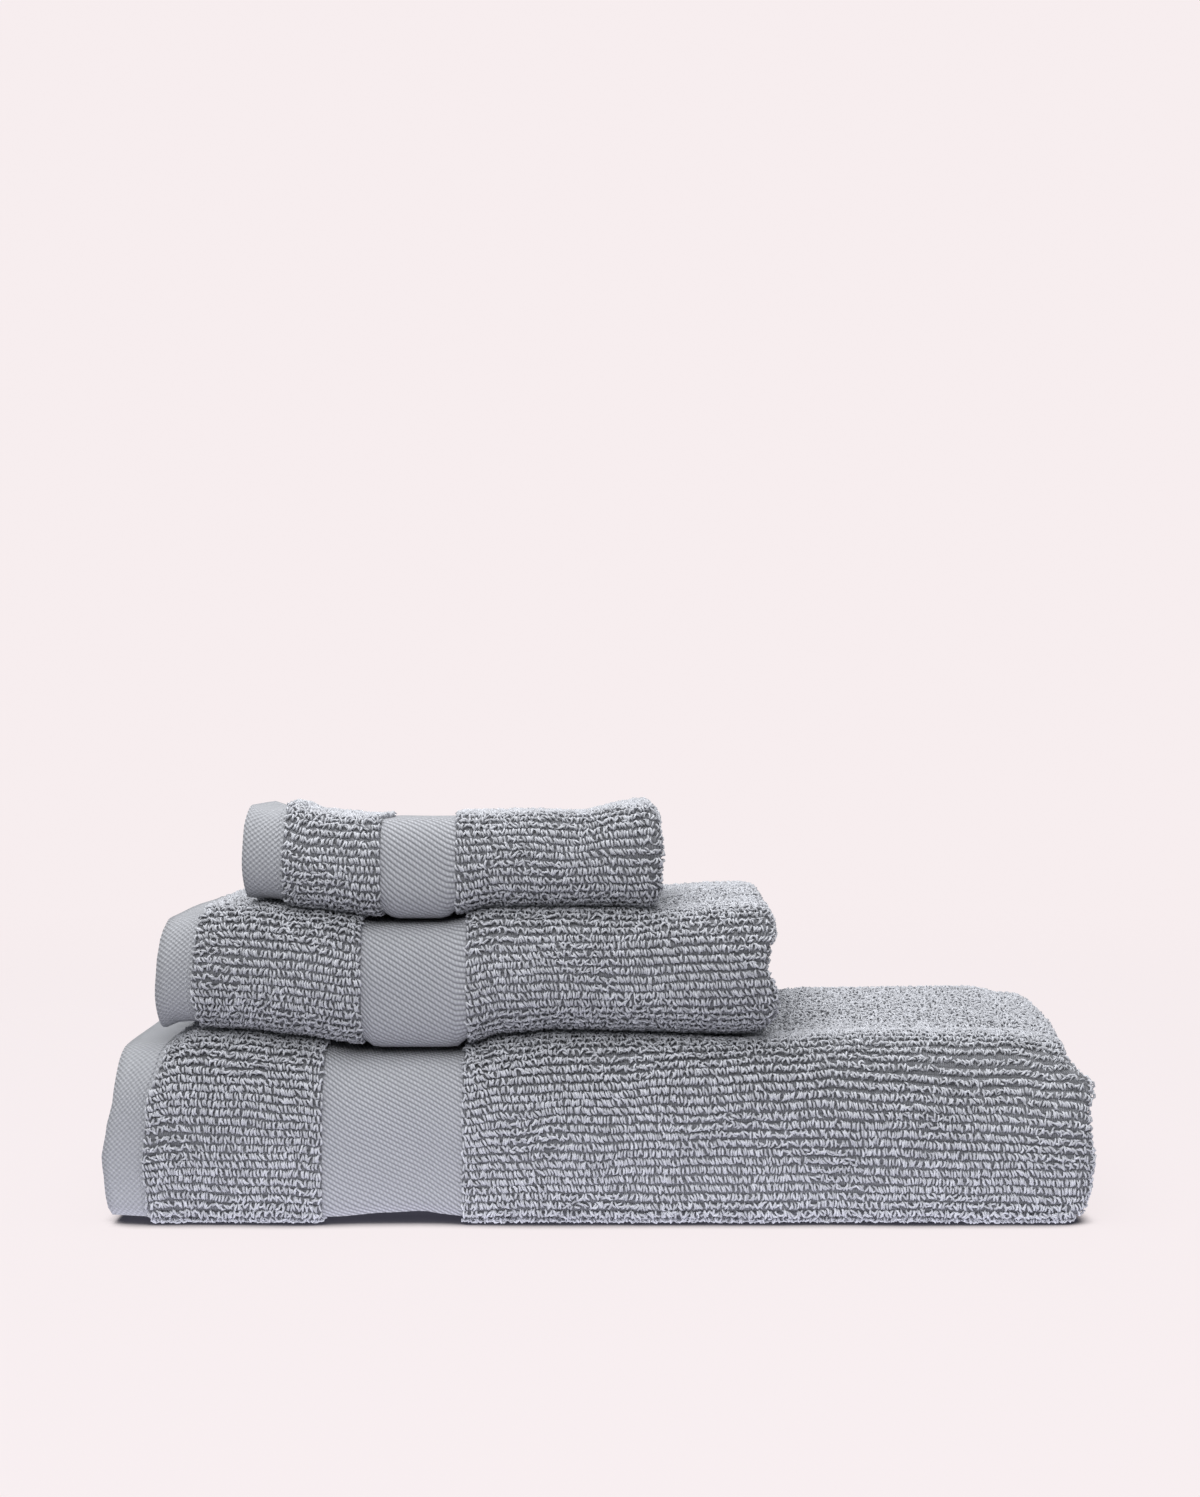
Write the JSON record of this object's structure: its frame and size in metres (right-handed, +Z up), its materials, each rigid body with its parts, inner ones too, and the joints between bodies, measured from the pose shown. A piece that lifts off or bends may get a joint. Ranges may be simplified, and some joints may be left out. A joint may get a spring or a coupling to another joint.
{
  "type": "bath towel set",
  "caption": "Stack of folded grey ribbed terry towels: guest towel on hand towel on bath towel, each with a flat hem and a woven band.",
  "frame": {"origin": "centre of the bath towel's underside, on the surface the stack lies on", "axes": "+X along the towels' length, away from the hemmed ends; +Y away from the rolled fronts; +Z up"},
  "size_m": [0.464, 0.175, 0.1956],
  "materials": {
    "terry": "ribbed cotton terry, matte",
    "twill_band": "flat twill-woven cotton, matte",
    "flat_hem": "flat dotted cotton weave, matte",
    "thread": "cotton sewing thread, matte"
  },
  "bodies": {
    "bath_towel": {"bath_towel_end_hem": "flat_hem", "bath_towel_terry_border": "terry", "bath_towel_dobby_band": "twill_band", "bath_towel_terry_field": "terry", "bath_towel_inner_layers": "terry", "bath_towel_hem_stitching": "thread", "bath_towel_side_hem": "flat_hem"},
    "hand_towel": {"hand_towel_end_hem": "flat_hem", "hand_towel_terry_border": "terry", "hand_towel_dobby_band": "twill_band", "hand_towel_terry_field": "terry", "hand_towel_inner_layers": "terry", "hand_towel_hem_stitching": "thread", "hand_towel_side_hem": "flat_hem"},
    "guest_towel": {"guest_towel_end_hem": "flat_hem", "guest_towel_terry_border": "terry", "guest_towel_dobby_band": "twill_band", "guest_towel_terry_field": "terry", "guest_towel_inner_layers": "terry", "guest_towel_hem_stitching": "thread"},
    "guest_top_leaf": {"guest_top_leaf_end_hem": "flat_hem", "guest_top_leaf_terry_border": "terry", "guest_top_leaf_dobby_band": "twill_band", "guest_top_leaf_terry_field": "terry", "guest_top_leaf_inner_layers": "terry", "guest_top_leaf_hem_stitching": "thread", "guest_top_leaf_side_hem": "flat_hem"}
  },
  "joints": [
    {"name": "hand_towel_lift", "type": "slide", "parent": "bath_towel", "child": "hand_towel", "axis": [0, 0, 1], "range_m": [0, 0.25]},
    {"name": "guest_towel_lift", "type": "slide", "parent": "hand_towel", "child": "guest_towel", "axis": [0, 0, 1], "range_m": [0, 0.25]},
    {"name": "guest_top_leaf_open", "type": "hinge", "parent": "guest_towel", "child": "guest_top_leaf", "pos_m": [0, -0.0825, 0.1696], "axis": [1, 0, 0], "range_deg": [0, 150]}
  ]
}
